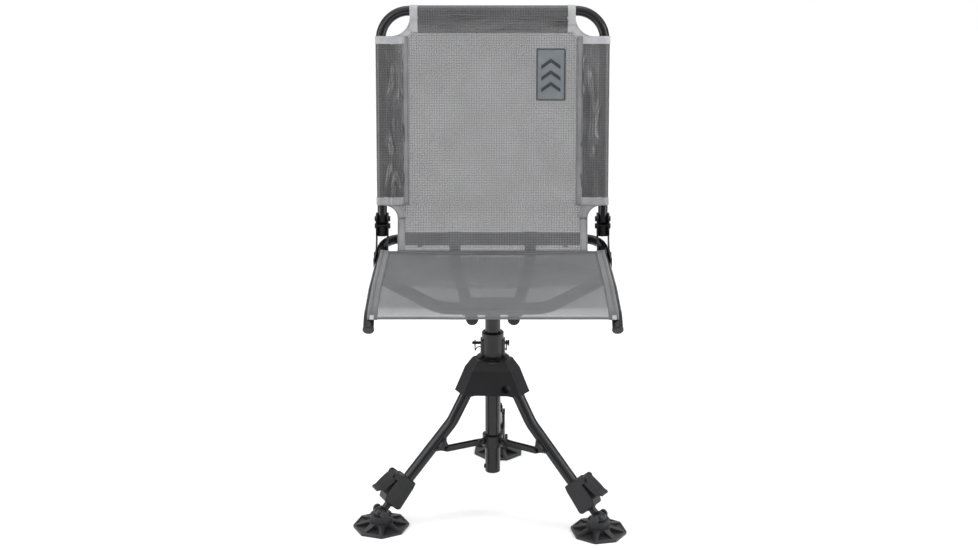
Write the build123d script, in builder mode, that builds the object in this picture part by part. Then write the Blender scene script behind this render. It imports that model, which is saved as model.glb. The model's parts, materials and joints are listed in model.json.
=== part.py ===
"""A swivel chair for a hunting blind: a mesh sling seat on a folding tripod.

Millimetres, +Z up. The origin is on the floor, on the swivel axis. The sitter faces -Y.
"""

import os
from math import atan2, cos, degrees, hypot, radians, sin, sqrt

from build123d import *

os.makedirs("parts", exist_ok=True)

RUN = 0.05  # radial running clearance of shafts and slides

# Tripod: one leg to the rear and two to the front, turned a little about the swivel axis
BASE_TURN = 3.0
LEG_ANGLES = {"left": 210 - BASE_TURN, "right": 330 - BASE_TURN, "rear": 90 - BASE_TURN}

# Leg, in its own upright plane: (distance from the swivel axis, height)
PIVOT = (46.0, 250.0)
ABOVE_PIVOT = 9.0  # how far the leg tube runs on past its pivot
KNEE = (85.0, 183.0)
KNEE_BEND = 70.0
SHIN_SLOPE = 43.5  # degrees from vertical, below the knee
BALL_Z = 27.0
LEG_R, LEG_WALL = 11.1, 1.4
EXTENSION_R, EXTENSION_WALL = LEG_R - LEG_WALL - RUN, 1.5
LEG_TUBE_END = 184.0  # lengths along the shin start at the knee
EXTENSION_START, EXTENSION_END = 70.0, 190.0

# Clamp on the leg tube's end: lengths along the shin, and out from its centreline
CLAMP_START, CLAMP_END = 132.0, 192.0
CLAMP_TOP, CLAMP_BOTTOM, CLAMP_HALF = 24.0, -20.0, 15.0
CLAMP_CHEEK = 3.6  # the walls that hold the lever
LEVER_AT = (141.0, 29.5)
LEVER_PIN_R, LEVER_EYE_R, LEVER_BOSS_R = 3.0, 4.8, 6.5
CLAMP_SHAPE = [(CLAMP_START, -12), (CLAMP_START, 16), (CLAMP_START + 8, CLAMP_TOP),
               (CLAMP_END - 12, CLAMP_TOP), (CLAMP_END, 18), (CLAMP_END, -14),
               (CLAMP_END - 4, CLAMP_BOTTOM), (CLAMP_START + 10, -15)]
LEVER_SHAPE = [(LEVER_AT[0], LEVER_AT[1] - LEVER_EYE_R), (158, 27.5), (174, 31.5), (180, 38),
               (186, 44.5), (183, 46), (176, 43), (165, 41.8), (150, 38.8), (138, 35.5)]

# Foot: an eight-sided pad with a socket for the ball
BALL_R, NECK_R = 14.0, 7.0
BALL_FIT = 0.08
STUD_TOP, STUD_FLANGE, STUD_FLANGE_R = 176.0, (190.0, 193.4), 9.5
FOOT_R, FOOT_EDGE, FOOT_RISE, FOOT_TOP_R = 52.0, 5.0, 13.0, 24.0
SOCKET_R, SOCKET_TOP = 20.0, BALL_Z - 1
POCKETS = 8
POCKET_SHAPE = [(23, -3.5), (44.5, -14), (44.5, 14), (23, 3.5)]
POCKET_FLOOR = 4.2
CHEEK_OUT, CHEEK_THICK, CHEEK_R, CHEEK_Z = 14.2, 5.2, 8.0, 30.0  # beside the ball
BALL_ALONG = (KNEE[1] - BALL_Z) / cos(radians(SHIN_SLOPE))

# Spreader: a slider on the post and a link out to each leg
SLIDER_Z, SLIDER_HALF, SLIDER_R = 129.5, 11.5, 19.5
EAR_R, RIVET_R, RIVET_HEAD_R, RIVET_HEAD = 5.6, 2.0, 3.6, 1.6
LINK_INNER = (26.0, 129.5)
LINK_OUTER = (97.0, 130.0)
EAR_HALF, LINK_GAP, LINK_SHEET, LINK_R = 3.0, 0.3, 2.0, 4.6
SADDLE, SADDLE_HALF = 2.0, 15.0  # the leg bracket's wall, and half its length
SADDLE_RIVET = (9.0, -6.0)  # along the shin from the ear, and out from the centreline

# Hub, swivel and post
HUB_BOTTOM, HUB_TOP = 241.0, 278.0
# The housing's six-sided skirt: height, reach at each leg and half-width there
SKIRT = [(238.0, 71.0, 17.0), (282.0, 50.0, 16.0), (299.0, 36.0, 13.0)]
KNUCKLE = [(34, 242), (39, 232), (57, 232), (65, 242)]  # under each leg's slot
KNUCKLE_HALF = 16.0
SLOT = [(28.5, 222), (28.5, 257), (34, 267), (52, 267), (58.4, 261), (59.6, 250), (67.3, 238),
        (77, 222)]
SLOT_HALF = LEG_R + 0.5
PIVOT_BOLT_R, PIVOT_HEAD_R, PIVOT_HEAD = 4.0, 7.0, 3.5
PIVOT_BOLT_ENDS = (-22.0, 18.0)  # across the leg, from its blind end to its head
BUSHING_R = 23.0
WASHER_R, RETAINER_R = 27.0, 25.5
NECK_BOTTOM, NECK_OUT_R = 232.0, 19.0
FLANGE_BOTTOM, FLANGE_TOP, FLANGE_R = 285.0, 301.0, 32.0
COLLAR_TOP, COLLAR_R = 348.0, 20.5
PIN_BOSS, PIN_BOSS_TOP = (46.0, 24.0), 333.0
PIN_Z, PIN_R = 325.0, 2.9
PIN_TIP_X, PIN_HEAD_X, PIN_HEAD_R, PIN_HEAD = -38.5, 27.5, 5.5, 3.5
POST_R, POST_WALL = 14.3, 1.8
POST_BOTTOM, POST_TOP = 65.0, 395.0
HOLE_PITCH, HOLE_STEPS = 12.7, 3  # height holes, above and below the pinned one
STOP_Z, STOP_R, STOP_HEAD_R, STOP_HEAD = 74.0, 3.5, 4.4, 2.4

# Seat frame
RAIL_X, RAIL_R, RAIL_WALL = 214.5, 9.5, 1.5
RAIL_SIDE = [(-198.0, 423.5), (-174.0, 440.0), (-60.0, 451.0), (140.0, 448.0), (203.0, 467.0)]
RAIL_BENDS = [40.0, 260.0, 70.0, 34.0]
CAP_RIM, CAP_THICK, CAP_PLUG = 0.6, 5.0, 12.0
CROSSBAR_R, CROSSBAR_HALF = 12.7, 171.0
SADDLE_WALL = 2.2  # the collars that carry the struts on the crossbar
RAIL_TAIL_X = 118.0  # the rails' rear ends lie this far out, inside the crossbar
CROSSBAR_BOLT_X, CROSSBAR_BOLT_R = 143.0, 5.0
TUBE_R, TUBE_WALL = 11.1, 1.6  # struts and front cross tube
STRUT_REAR_X, STRUT_FRONT_X, STRUT_Z, STRUT_FRONT_Y = 74.0, 37.0, 411.0, -112.0
CROSS_TUBE = [(RAIL_X, 25.0, 446.0), (95.0, -92.0, 424.0)]
STRUT_BEND, CROSS_BEND = 30.0, 60.0
STRUT_PLUG, STRUT_PLUG_DEPTH = 3.0, 7.0
PLATE_SIZE, PLATE_THICK, PLATE_CORNER = (126.0, 84.0), 4.8, 10.0
BOLT_XY = (50.3, 30.0)
BOLT_R, BOLT_HEAD_R, BOLT_HEAD = 3.0, 6.0, 5.0
MOUNT_BOLT_LENGTH = 14.0

# Backrest, in its own leaning plane through the hinge
LEAN = 10.1
HINGE = (190.0, 512.0)
STOP_DROP = 14.0  # the stop bolt is this far below the hinge bolt
BACK_FOOT, BACK_TOP, BACK_BEND = -34.0, 399.0, 54.0
HINGE_SHEET, HINGE_CORNER = 3.0, 2.5
HINGE_HEAD_R, HINGE_HEAD, HINGE_NUT = 5.2, 2.6, 3.0
SLOT_R = 3.3  # half the width of the stop bolt's slot
RAIL_BOLT_Y = 150.0

# Fabric, as flat panels over the front of the backrest and the top of the rails
SHEET_GAP, SHEET = 0.3, 2.4
PANEL_HALF, PANEL_SIDE = 185.0, 222.0
SLEEVE_FOOT = 27.0  # the side sleeves' lower ends
TOP_CUT, TOP_CUT_R = (204.0, 394.0), 43.0
LOW_CUT, LOW_CUT_R = (210.0, 0.0), 25.0
SEAT_FRONT_Y, SEAT_REAR_Y = -183.0, 146.0
TAIL_TOP = (178.4, 500.0)
TAIL_FOOT_Y = 165.4
ROD_YZ, ROD_R = (164.0, 450.0), 4.0
PATCH_AT, PATCH_SIZE, PATCH_THICK = (112.0, 278.0), (56.0, 98.0), 1.2

lean = radians(LEAN)
shin = radians(SHIN_SLOPE)
BACK_PLANE = Plane(origin=(0, *HINGE), x_dir=(1, 0, 0), z_dir=(0, -cos(lean), sin(lean)))
STOP_BOLT = (HINGE[0] - STOP_DROP * sin(lean), HINGE[1] - STOP_DROP * cos(lean))


def keep(piece, name):
    """Label a finished piece and write it."""
    piece.part.label = name
    export_step(piece.part, f"parts/{name}.step")


def leg_plane(angle):
    """The upright plane of one leg: x runs out from the swivel axis and y runs up."""
    out = (cos(radians(angle)), sin(radians(angle)), 0)
    side = (sin(radians(angle)), -cos(radians(angle)), 0)
    return Plane(origin=(0, 0, 0), x_dir=out, z_dir=side)


def shin_side(angle):
    """The leg's plane again, with x running down the shin from the knee and y outward from it."""
    flat = leg_plane(angle)
    down = flat.x_dir * sin(shin) - Vector(0, 0, 1) * cos(shin)
    return Plane(origin=flat.from_local_coords(Vector(*KNEE, 0)), x_dir=down, z_dir=flat.z_dir)


def shin_cross(angle, along):
    """A plane square to the shin, with z running down it."""
    beside = shin_side(angle)
    centre = beside.origin + beside.x_dir * along
    return Plane(origin=centre, x_dir=beside.y_dir, z_dir=beside.x_dir)


def ring(plane, outer, inner, start, end):
    """A plain ring or sleeve about a plane's own axis."""
    with BuildPart() as piece:
        with BuildSketch(plane.offset(start)):
            Circle(outer)
            Circle(inner, mode=Mode.SUBTRACT)
        extrude(amount=end - start)
    return piece


def rail_height(y):
    """The height of a rail's centreline at y, between its corners."""
    for (y0, z0), (y1, z1) in zip(RAIL_SIDE, RAIL_SIDE[1:]):
        if y0 <= y <= y1:
            return z0 + (z1 - z0) * (y - y0) / (y1 - y0)
    raise ValueError(f"the rail doesn't reach y={y}")


# ---------------------------------------------------------------- hub and swivel

def skirt_corners(reach, half_width):
    """The six corners of the housing's skirt at one height."""
    corners = []
    for leg_angle in LEG_ANGLES.values():
        flat = leg_plane(leg_angle)
        for sideways in (half_width, -half_width):
            corner = flat.x_dir * reach + flat.z_dir * sideways
            corners.append((corner.X, corner.Y))
    return sorted(corners, key=lambda corner: atan2(corner[1], corner[0]))


with BuildPart() as hub_housing:
    for lower, upper in zip(SKIRT, SKIRT[1:]):
        for height, reach, half_width in (lower, upper):
            with BuildSketch(Plane.XY.offset(height)):
                with BuildLine():
                    Polyline(*skirt_corners(reach, half_width), close=True)
                make_face()
        loft()
    for leg_angle in LEG_ANGLES.values():
        with BuildSketch(leg_plane(leg_angle)):
            with BuildLine():
                Polyline(*KNUCKLE, close=True)
            make_face()
        extrude(amount=KNUCKLE_HALF, both=True)
    for leg_angle in LEG_ANGLES.values():
        flat = leg_plane(leg_angle)
        with BuildSketch(flat):
            with BuildLine():
                Polyline(*SLOT, close=True)
            make_face()
        extrude(amount=SLOT_HALF, both=True, mode=Mode.SUBTRACT)
        for (start, end), radius in [(PIVOT_BOLT_ENDS, PIVOT_BOLT_R + RUN),
                                     ((PIVOT_BOLT_ENDS[1], SKIRT[0][1]), PIVOT_HEAD_R + 0.4)]:
            with BuildSketch(flat.offset(start)):
                with Locations(PIVOT):
                    Circle(radius)
            extrude(amount=end - start, mode=Mode.SUBTRACT)
    # The bushing's seat, and room above it for the washer and the flange
    for start, radius in [(KNUCKLE[1][1], BUSHING_R), (HUB_TOP, FLANGE_R + 1)]:
        with BuildSketch(Plane.XY.offset(start)):
            Circle(radius)
        extrude(amount=SKIRT[-1][0] - start, mode=Mode.SUBTRACT)
keep(hub_housing, "hub_housing")

with BuildPart() as hub_bolts:
    blind_end, head_start = PIVOT_BOLT_ENDS
    for leg_angle in LEG_ANGLES.values():
        for start, radius, length in [(blind_end, PIVOT_BOLT_R, head_start - blind_end),
                                      (head_start, PIVOT_HEAD_R, PIVOT_HEAD)]:
            with BuildSketch(leg_plane(leg_angle).offset(start)):
                with Locations(PIVOT):
                    Circle(radius)
            extrude(amount=length)
keep(hub_bolts, "hub_bolts")

keep(ring(Plane.XY, BUSHING_R, NECK_OUT_R + RUN, HUB_BOTTOM, HUB_TOP), "hub_bushing")
keep(ring(Plane.XY, WASHER_R, NECK_OUT_R + RUN, HUB_TOP, FLANGE_BOTTOM - 0.1), "thrust_washer")

with BuildPart() as swivel_collar:
    with BuildSketch(Plane.XZ):
        with BuildLine():
            Polyline((POST_R + RUN, NECK_BOTTOM), (NECK_OUT_R, NECK_BOTTOM), (NECK_OUT_R, FLANGE_BOTTOM),
                     (FLANGE_R - 1, FLANGE_BOTTOM), (FLANGE_R, FLANGE_BOTTOM + 1),
                     (FLANGE_R, FLANGE_TOP - 4), (FLANGE_R - 5, FLANGE_TOP),
                     (COLLAR_R, FLANGE_TOP), (COLLAR_R, COLLAR_TOP - 1.5),
                     (COLLAR_R - 1.5, COLLAR_TOP), (POST_R + RUN, COLLAR_TOP), close=True)
        make_face()
    revolve(axis=Axis.Z)
    with BuildSketch(Plane.XY.offset(FLANGE_TOP)):
        RectangleRounded(*PIN_BOSS, 5)
    extrude(amount=PIN_BOSS_TOP - FLANGE_TOP)
    with BuildSketch(Plane.XY.offset(NECK_BOTTOM)):
        Circle(POST_R + RUN)
    extrude(amount=COLLAR_TOP - NECK_BOTTOM, mode=Mode.SUBTRACT)
    with BuildSketch(Plane.YZ):
        with Locations((0, PIN_Z)):
            Circle(PIN_R + RUN)
    extrude(amount=FLANGE_R, both=True, mode=Mode.SUBTRACT)
keep(swivel_collar, "swivel_collar")

keep(ring(Plane.XY, RETAINER_R, NECK_OUT_R, NECK_BOTTOM + 3, NECK_BOTTOM + 6), "retaining_ring")

with BuildPart() as lock_pin:
    with BuildSketch(Plane.YZ.offset(PIN_TIP_X)):
        with Locations((0, PIN_Z)):
            Circle(PIN_R)
    extrude(amount=PIN_HEAD_X - PIN_TIP_X)
    chamfer(lock_pin.faces().sort_by(Axis.X)[0].edges(), 1)
    with BuildSketch(Plane.YZ.offset(PIN_HEAD_X)):
        with Locations((0, PIN_Z)):
            Circle(PIN_HEAD_R)
    extrude(amount=PIN_HEAD)
keep(lock_pin, "lock_pin")

# The wire bail hangs from both ends of the pin and round behind the collar
WIRE_R = 1.1
EYE_R, EYE_BORE = PIN_R + 2.6, PIN_R + 0.3
BAIL_Z = 306.5
BAIL = [(-33.0, 0.0, PIN_Z - 4.6), (-33.0, 8.0, BAIL_Z), (-29.0, 29.0, BAIL_Z),
        (21.5, 29.0, BAIL_Z), (25.5, 8.0, BAIL_Z), (25.5, 0.0, PIN_Z - 4.6)]
with BuildPart() as pin_wire:
    with BuildLine() as wire_path:
        FilletPolyline(*BAIL, radius=[5, 8, 8, 5])
    with BuildSketch(Plane(wire_path.line @ 0, z_dir=wire_path.line % 0)):
        Circle(WIRE_R)
    sweep(path=wire_path.line)
    for eye_x in (BAIL[0][0], BAIL[-1][0]):
        with BuildSketch(Plane.YZ.offset(eye_x - WIRE_R - 0.2)):
            with Locations((0, PIN_Z)):
                Circle(EYE_R)
        extrude(amount=2 * WIRE_R + 0.4)
    with BuildSketch(Plane.YZ):
        with Locations((0, PIN_Z)):
            Circle(EYE_BORE)
    extrude(amount=-2 * BAIL[0][0], both=True, mode=Mode.SUBTRACT)
keep(pin_wire, "pin_wire")

# ---------------------------------------------------------------- post and what it carries

with BuildPart() as seat_post:
    with BuildSketch(Plane.XY.offset(POST_BOTTOM)):
        Circle(POST_R)
        Circle(POST_R - POST_WALL, mode=Mode.SUBTRACT)
    extrude(amount=POST_TOP - POST_BOTTOM)
    with BuildSketch(Plane.YZ):
        with GridLocations(1, HOLE_PITCH, 1, 2 * HOLE_STEPS + 1):
            with Locations((0, PIN_Z)):
                Circle(PIN_R + 0.1)
    extrude(amount=POST_R + 1, both=True, mode=Mode.SUBTRACT)
    with BuildSketch(Plane.YZ):
        with Locations((0, STOP_Z)):
            Circle(STOP_R)
    extrude(amount=-POST_R - 1, mode=Mode.SUBTRACT)
keep(seat_post, "seat_post")

with BuildPart() as post_stop:
    for depth, radius, length in [(POST_R - POST_WALL, STOP_R, POST_WALL),
                                  (POST_R, STOP_HEAD_R, STOP_HEAD)]:
        with BuildSketch(Plane.YZ.offset(-depth)):
            with Locations((0, STOP_Z)):
                Circle(radius)
        extrude(amount=-length)
    fillet(post_stop.faces().sort_by(Axis.X)[0].edges(), 1.2)
keep(post_stop, "post_stop")

with BuildPart() as mount_plate:
    with BuildSketch(Plane.XY.offset(POST_TOP)):
        RectangleRounded(*PLATE_SIZE, PLATE_CORNER)
        with GridLocations(2 * BOLT_XY[0], 2 * BOLT_XY[1], 2, 2):
            Circle(BOLT_R + RUN, mode=Mode.SUBTRACT)
    extrude(amount=PLATE_THICK)
keep(mount_plate, "mount_plate")

with BuildPart() as mount_bolts:
    with BuildSketch(Plane.XY.offset(POST_TOP)):
        with GridLocations(2 * BOLT_XY[0], 2 * BOLT_XY[1], 2, 2):
            Circle(BOLT_R)
    extrude(amount=MOUNT_BOLT_LENGTH)
    with BuildSketch(Plane.XY.offset(POST_TOP - BOLT_HEAD)):
        with GridLocations(2 * BOLT_XY[0], 2 * BOLT_XY[1], 2, 2):
            RegularPolygon(BOLT_HEAD_R, 6)
    extrude(amount=BOLT_HEAD)
keep(mount_bolts, "mount_bolts")

rear_crossbar = ring(Plane.YZ, CROSSBAR_R, RAIL_R + RUN, -CROSSBAR_HALF, CROSSBAR_HALF)
rear_crossbar.part.position = (0, *RAIL_SIDE[-1])
keep(rear_crossbar, "rear_crossbar")

with BuildPart() as crossbar_saddles:
    for side in (-1, 1):
        with BuildSketch(Plane.YZ.offset(side * STRUT_REAR_X)):
            with Locations(RAIL_SIDE[-1]):
                Circle(CROSSBAR_R + SADDLE_WALL)
                Circle(CROSSBAR_R, mode=Mode.SUBTRACT)
        extrude(amount=TUBE_R + 1.5, both=True)
keep(crossbar_saddles, "crossbar_saddles")

with BuildPart() as crossbar_bolts:
    for side in (-1, 1):
        with BuildSketch(Plane.XY.offset(RAIL_SIDE[-1][1] - CROSSBAR_R - 3)):
            with Locations((side * CROSSBAR_BOLT_X, RAIL_SIDE[-1][0])):
                Circle(CROSSBAR_BOLT_R)
        extrude(amount=6)
    with BuildSketch(Plane.YZ.offset(-CROSSBAR_HALF)):
        with Locations(RAIL_SIDE[-1]):
            Circle(CROSSBAR_R)
    extrude(amount=2 * CROSSBAR_HALF, mode=Mode.SUBTRACT)
keep(crossbar_bolts, "crossbar_bolts")


RAIL_BOLT = (RAIL_BOLT_Y, rail_height(RAIL_BOLT_Y))


def rail_path(side):
    """One rail: down over its front end, along the seat, up to the rear and in to the crossbar."""
    return [(side * RAIL_X, y, z) for y, z in RAIL_SIDE] + [(side * RAIL_TAIL_X, *RAIL_SIDE[-1])]


for side, name in [(-1, "left"), (1, "right")]:
    with BuildPart() as rail:
        with BuildLine() as rail_line:
            FilletPolyline(*rail_path(side), radius=RAIL_BENDS)
        with BuildSketch(Plane(rail_line.line @ 0, z_dir=rail_line.line % 0)):
            Circle(RAIL_R)
            Circle(RAIL_R - RAIL_WALL, mode=Mode.SUBTRACT)
        sweep(path=rail_line.line)
        with BuildSketch(Plane.YZ.offset(side * (RAIL_X - RAIL_R - 1))):
            with Locations(RAIL_BOLT):
                Circle(BOLT_R + RUN)
        extrude(amount=side * 2 * (RAIL_R + 1), mode=Mode.SUBTRACT)
    keep(rail, f"rail_{name}")

with BuildPart() as rail_caps:
    for side in (-1, 1):
        end_y, end_z = RAIL_SIDE[0]
        rise = Vector(0, RAIL_SIDE[1][0] - end_y, RAIL_SIDE[1][1] - end_z).normalized()
        end = Plane(origin=(side * RAIL_X, end_y, end_z), z_dir=rise * -1)
        with BuildSketch(end):
            Circle(RAIL_R + CAP_RIM)
        extrude(amount=CAP_THICK)
        with BuildSketch(end):
            Circle(RAIL_R - RAIL_WALL)
        extrude(amount=-CAP_PLUG)
    fillet(rail_caps.faces().group_by(Axis.Z)[0].edges(), 2.5)
keep(rail_caps, "rail_caps")

with BuildPart() as front_cross_tube:
    with BuildLine() as cross_line:
        FilletPolyline(*[(-x, y, z) for x, y, z in CROSS_TUBE], *reversed(CROSS_TUBE),
                       radius=CROSS_BEND)
    with BuildSketch(Plane(cross_line.line @ 0, z_dir=cross_line.line % 0)):
        Circle(TUBE_R)
        Circle(TUBE_R - TUBE_WALL, mode=Mode.SUBTRACT)
    sweep(path=cross_line.line)
    for side in (-1, 1):
        with BuildSketch(Plane.YZ.offset(side * (RAIL_X - RAIL_R - 0.2))):
            with Locations(CROSS_TUBE[0][1:]):
                Rectangle(8 * TUBE_R, 8 * TUBE_R)
        extrude(amount=side * 6 * RAIL_R, mode=Mode.SUBTRACT)
keep(front_cross_tube, "front_cross_tube")

for side, name in [(-1, "left"), (1, "right")]:
    with BuildPart() as strut:
        with BuildLine() as strut_line:
            FilletPolyline(
                (side * STRUT_REAR_X, *RAIL_SIDE[-1]),
                (side * STRUT_REAR_X, RAIL_SIDE[-1][0], STRUT_Z),
                (side * STRUT_FRONT_X, STRUT_FRONT_Y, STRUT_Z),
                radius=STRUT_BEND,
            )
        with BuildSketch(Plane(strut_line.line @ 0, z_dir=strut_line.line % 0)):
            Circle(TUBE_R)
            Circle(TUBE_R - TUBE_WALL, mode=Mode.SUBTRACT)
        sweep(path=strut_line.line)
        with BuildSketch(Plane.YZ):
            with Locations(RAIL_SIDE[-1]):
                Circle(CROSSBAR_R + SADDLE_WALL)
            with Locations(CROSS_TUBE[1][1:]):
                Circle(TUBE_R + RUN)
        extrude(amount=side * CROSSBAR_HALF, mode=Mode.SUBTRACT)
        with BuildSketch(Plane.XY.offset(POST_TOP)):
            with GridLocations(2 * BOLT_XY[0], 2 * BOLT_XY[1], 2, 2):
                Circle(BOLT_R + 2 * RUN)
        extrude(amount=MOUNT_BOLT_LENGTH + 2, mode=Mode.SUBTRACT)
    keep(strut, f"strut_{name}")

with BuildPart() as strut_plugs:
    for side in (-1, 1):
        back = Vector(side * (STRUT_REAR_X - STRUT_FRONT_X), RAIL_SIDE[-1][0] - STRUT_FRONT_Y, 0)
        end = Plane(origin=(side * STRUT_FRONT_X, STRUT_FRONT_Y, STRUT_Z), z_dir=back * -1)
        with BuildSketch(end):
            Circle(TUBE_R)
        extrude(amount=STRUT_PLUG)
        with BuildSketch(end):
            Circle(TUBE_R - TUBE_WALL)
        extrude(amount=-STRUT_PLUG_DEPTH)
    fillet(strut_plugs.faces().group_by(Axis.Y)[0].edges(), 1.4)
keep(strut_plugs, "strut_plugs")

# ---------------------------------------------------------------- backrest hinge

INNER_SHEET = [(137, 440.5), (137, 455), (157, 459), (170, 478), (177, 516), (184, 523),
               (197, 523), (203, 516), (200, 486), (182, 480), (171, 468), (165, 443)]
OUTER_SHEET = [(97, 441), (97, 458), (158, 459.5), (172, 476), (177, 516), (184, 523),
               (197, 523), (203, 516), (201, 484), (188, 458), (165, 442)]


def hinge_sheet(outline, side, start):
    """One flat hinge plate from its side outline, with its bolt holes."""
    with BuildPart() as sheet:
        with BuildSketch(Plane.YZ.offset(side * start)) as face:
            with BuildLine():
                Polyline(*outline, close=True)
            make_face()
            fillet(face.vertices(), HINGE_CORNER)
            with Locations(HINGE, STOP_BOLT, RAIL_BOLT):
                Circle(BOLT_R + RUN, mode=Mode.SUBTRACT)
        extrude(amount=side * HINGE_SHEET)
    return sheet


def cross_bolts(places, inner_x):
    """Bolts through both hinge plates, from side to side, with a head out and a nut in."""
    outer_x = RAIL_X + RAIL_R + HINGE_SHEET
    with BuildPart() as bolts:
        for side in (-1, 1):
            for start, end, size in [(inner_x, outer_x, BOLT_R),
                                     (outer_x, outer_x + HINGE_HEAD, HINGE_HEAD_R),
                                     (inner_x - HINGE_NUT, inner_x, HINGE_HEAD_R)]:
                with BuildSketch(Plane.YZ.offset(side * start)):
                    with Locations(*places):
                        Circle(size)
                extrude(amount=side * (end - start))
    return bolts


INNER_X = RAIL_X - RAIL_R - HINGE_SHEET
for side, name in [(-1, "left"), (1, "right")]:
    keep(hinge_sheet(INNER_SHEET, side, INNER_X), f"hinge_inner_{name}")
    keep(hinge_sheet(OUTER_SHEET, side, RAIL_X + RAIL_R), f"hinge_outer_{name}")
keep(cross_bolts([HINGE, STOP_BOLT], INNER_X), "hinge_bolts")
keep(cross_bolts([RAIL_BOLT], INNER_X), "rail_bolts")

with BuildPart() as backrest_tube:
    with BuildLine(BACK_PLANE) as back_line:
        FilletPolyline(
            (-RAIL_X, BACK_FOOT), (-RAIL_X, BACK_TOP), (RAIL_X, BACK_TOP), (RAIL_X, BACK_FOOT),
            radius=BACK_BEND,
        )
    with BuildSketch(Plane(back_line.line @ 0, z_dir=back_line.line % 0)):
        Circle(RAIL_R)
        Circle(RAIL_R - RAIL_WALL, mode=Mode.SUBTRACT)
    sweep(path=back_line.line)
    # Beside the hinge bolt's hole, a slot about it lets the stop bolt out as the back folds
    with BuildSketch(Plane.YZ):
        with Locations(HINGE):
            Circle(BOLT_R + RUN)
        with BuildLine():
            for radius in (STOP_DROP - SLOT_R, STOP_DROP + SLOT_R):
                CenterArc(HINGE, radius, 180, 90 - LEAN)
            for turn in (180, 270 - LEAN):
                Line(*[(HINGE[0] + radius * cos(radians(turn)), HINGE[1] + radius * sin(radians(turn)))
                       for radius in (STOP_DROP - SLOT_R, STOP_DROP + SLOT_R)])
        make_face()
        with Locations(STOP_BOLT):
            Circle(SLOT_R)
    extrude(amount=RAIL_X + 2 * RAIL_R, both=True, mode=Mode.SUBTRACT)
keep(backrest_tube, "backrest_tube")

# ---------------------------------------------------------------- fabric

SHEET_AT = RAIL_R + SHEET_GAP

with BuildPart() as back_sling:
    with BuildSketch(BACK_PLANE.offset(SHEET_AT)):
        with Locations((0, (SLEEVE_FOOT + BACK_TOP + RAIL_R) / 2)):
            Rectangle(2 * PANEL_SIDE, BACK_TOP + RAIL_R - SLEEVE_FOOT)
        with Locations((0, 20)):
            Rectangle(2 * PANEL_HALF, 36)
        for side in (-1, 1):
            with Locations((side * TOP_CUT[0], TOP_CUT[1])):
                Circle(TOP_CUT_R, mode=Mode.SUBTRACT)
            with Locations((side * 250, 430)):
                Rectangle(2 * 96, 2 * 44, mode=Mode.SUBTRACT)
            with Locations((side * LOW_CUT[0], LOW_CUT[1])):
                Circle(LOW_CUT_R, mode=Mode.SUBTRACT)
    extrude(amount=SHEET)
keep(back_sling, "back_sling")

with BuildPart() as patch:
    with BuildSketch(BACK_PLANE.offset(SHEET_AT + SHEET)):
        with Locations(PATCH_AT):
            RectangleRounded(*PATCH_SIZE, 2)
    extrude(amount=PATCH_THICK)
keep(patch, "patch")

with BuildPart() as sling_tail:
    with BuildSketch(Plane.YZ.offset(-PANEL_HALF)):
        with BuildLine():
            tail_foot = (TAIL_FOOT_Y, ROD_YZ[1] + ROD_R + 0.8)
            Polyline(TAIL_TOP, tail_foot, (tail_foot[0] - SHEET, tail_foot[1]),
                     (TAIL_TOP[0] - SHEET, TAIL_TOP[1]), close=True)
        make_face()
    extrude(amount=2 * PANEL_HALF)
keep(sling_tail, "sling_tail")

with BuildPart() as sling_rod:
    with BuildSketch(Plane.YZ.offset(-INNER_X)):
        with Locations(ROD_YZ):
            Circle(ROD_R)
    extrude(amount=2 * INNER_X)
keep(sling_rod, "sling_rod")

with BuildPart() as seat_sling:
    # Where the rails slope or bend, the panel lies a little further above their centreline
    seat_line = [(y, rail_height(y) + SHEET_AT + rise)
                 for y, rise in [(SEAT_FRONT_Y, 4.4), (RAIL_SIDE[1][0], 2.4), (RAIL_SIDE[2][0], 0.4),
                                 (RAIL_SIDE[3][0], 1.0), (SEAT_REAR_Y, 1.2)]]
    with BuildSketch(Plane.YZ.offset(-PANEL_SIDE)):
        with BuildLine():
            Polyline(*seat_line, *[(y, z + SHEET) for y, z in reversed(seat_line)], close=True)
        make_face()
    extrude(amount=2 * PANEL_SIDE)
keep(seat_sling, "seat_sling")

# ---------------------------------------------------------------- slider and links

PIN_END = EAR_HALF + LINK_GAP + LINK_SHEET + 0.2

with BuildPart() as slider_collar:
    with BuildSketch(Plane.XY.offset(SLIDER_Z - SLIDER_HALF)):
        Circle(SLIDER_R)
    extrude(amount=2 * SLIDER_HALF)
    for leg_angle in LEG_ANGLES.values():
        with BuildSketch(leg_plane(leg_angle)):
            with Locations(LINK_INNER):
                Circle(EAR_R)
            with Locations((LINK_INNER[0] - EAR_R, LINK_INNER[1])):
                Rectangle(2 * EAR_R, 2 * EAR_R)
            with Locations(LINK_INNER):
                Circle(RIVET_R, mode=Mode.SUBTRACT)
        extrude(amount=EAR_HALF, both=True)
    with BuildSketch(Plane.XY.offset(SLIDER_Z - SLIDER_HALF)):
        Circle(POST_R + RUN)
    extrude(amount=2 * SLIDER_HALF, mode=Mode.SUBTRACT)
keep(slider_collar, "slider_collar")

with BuildPart() as slider_pins:
    for leg_angle in LEG_ANGLES.values():
        for start, radius, length in [(-PIN_END, RIVET_R, 2 * PIN_END),
                                      (PIN_END, RIVET_HEAD_R, RIVET_HEAD),
                                      (-PIN_END - RIVET_HEAD, RIVET_HEAD_R, RIVET_HEAD)]:
            with BuildSketch(leg_plane(leg_angle).offset(start)):
                with Locations(LINK_INNER):
                    Circle(radius)
            extrude(amount=length)
keep(slider_pins, "slider_pins")

# ---------------------------------------------------------------- the three legs

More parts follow.
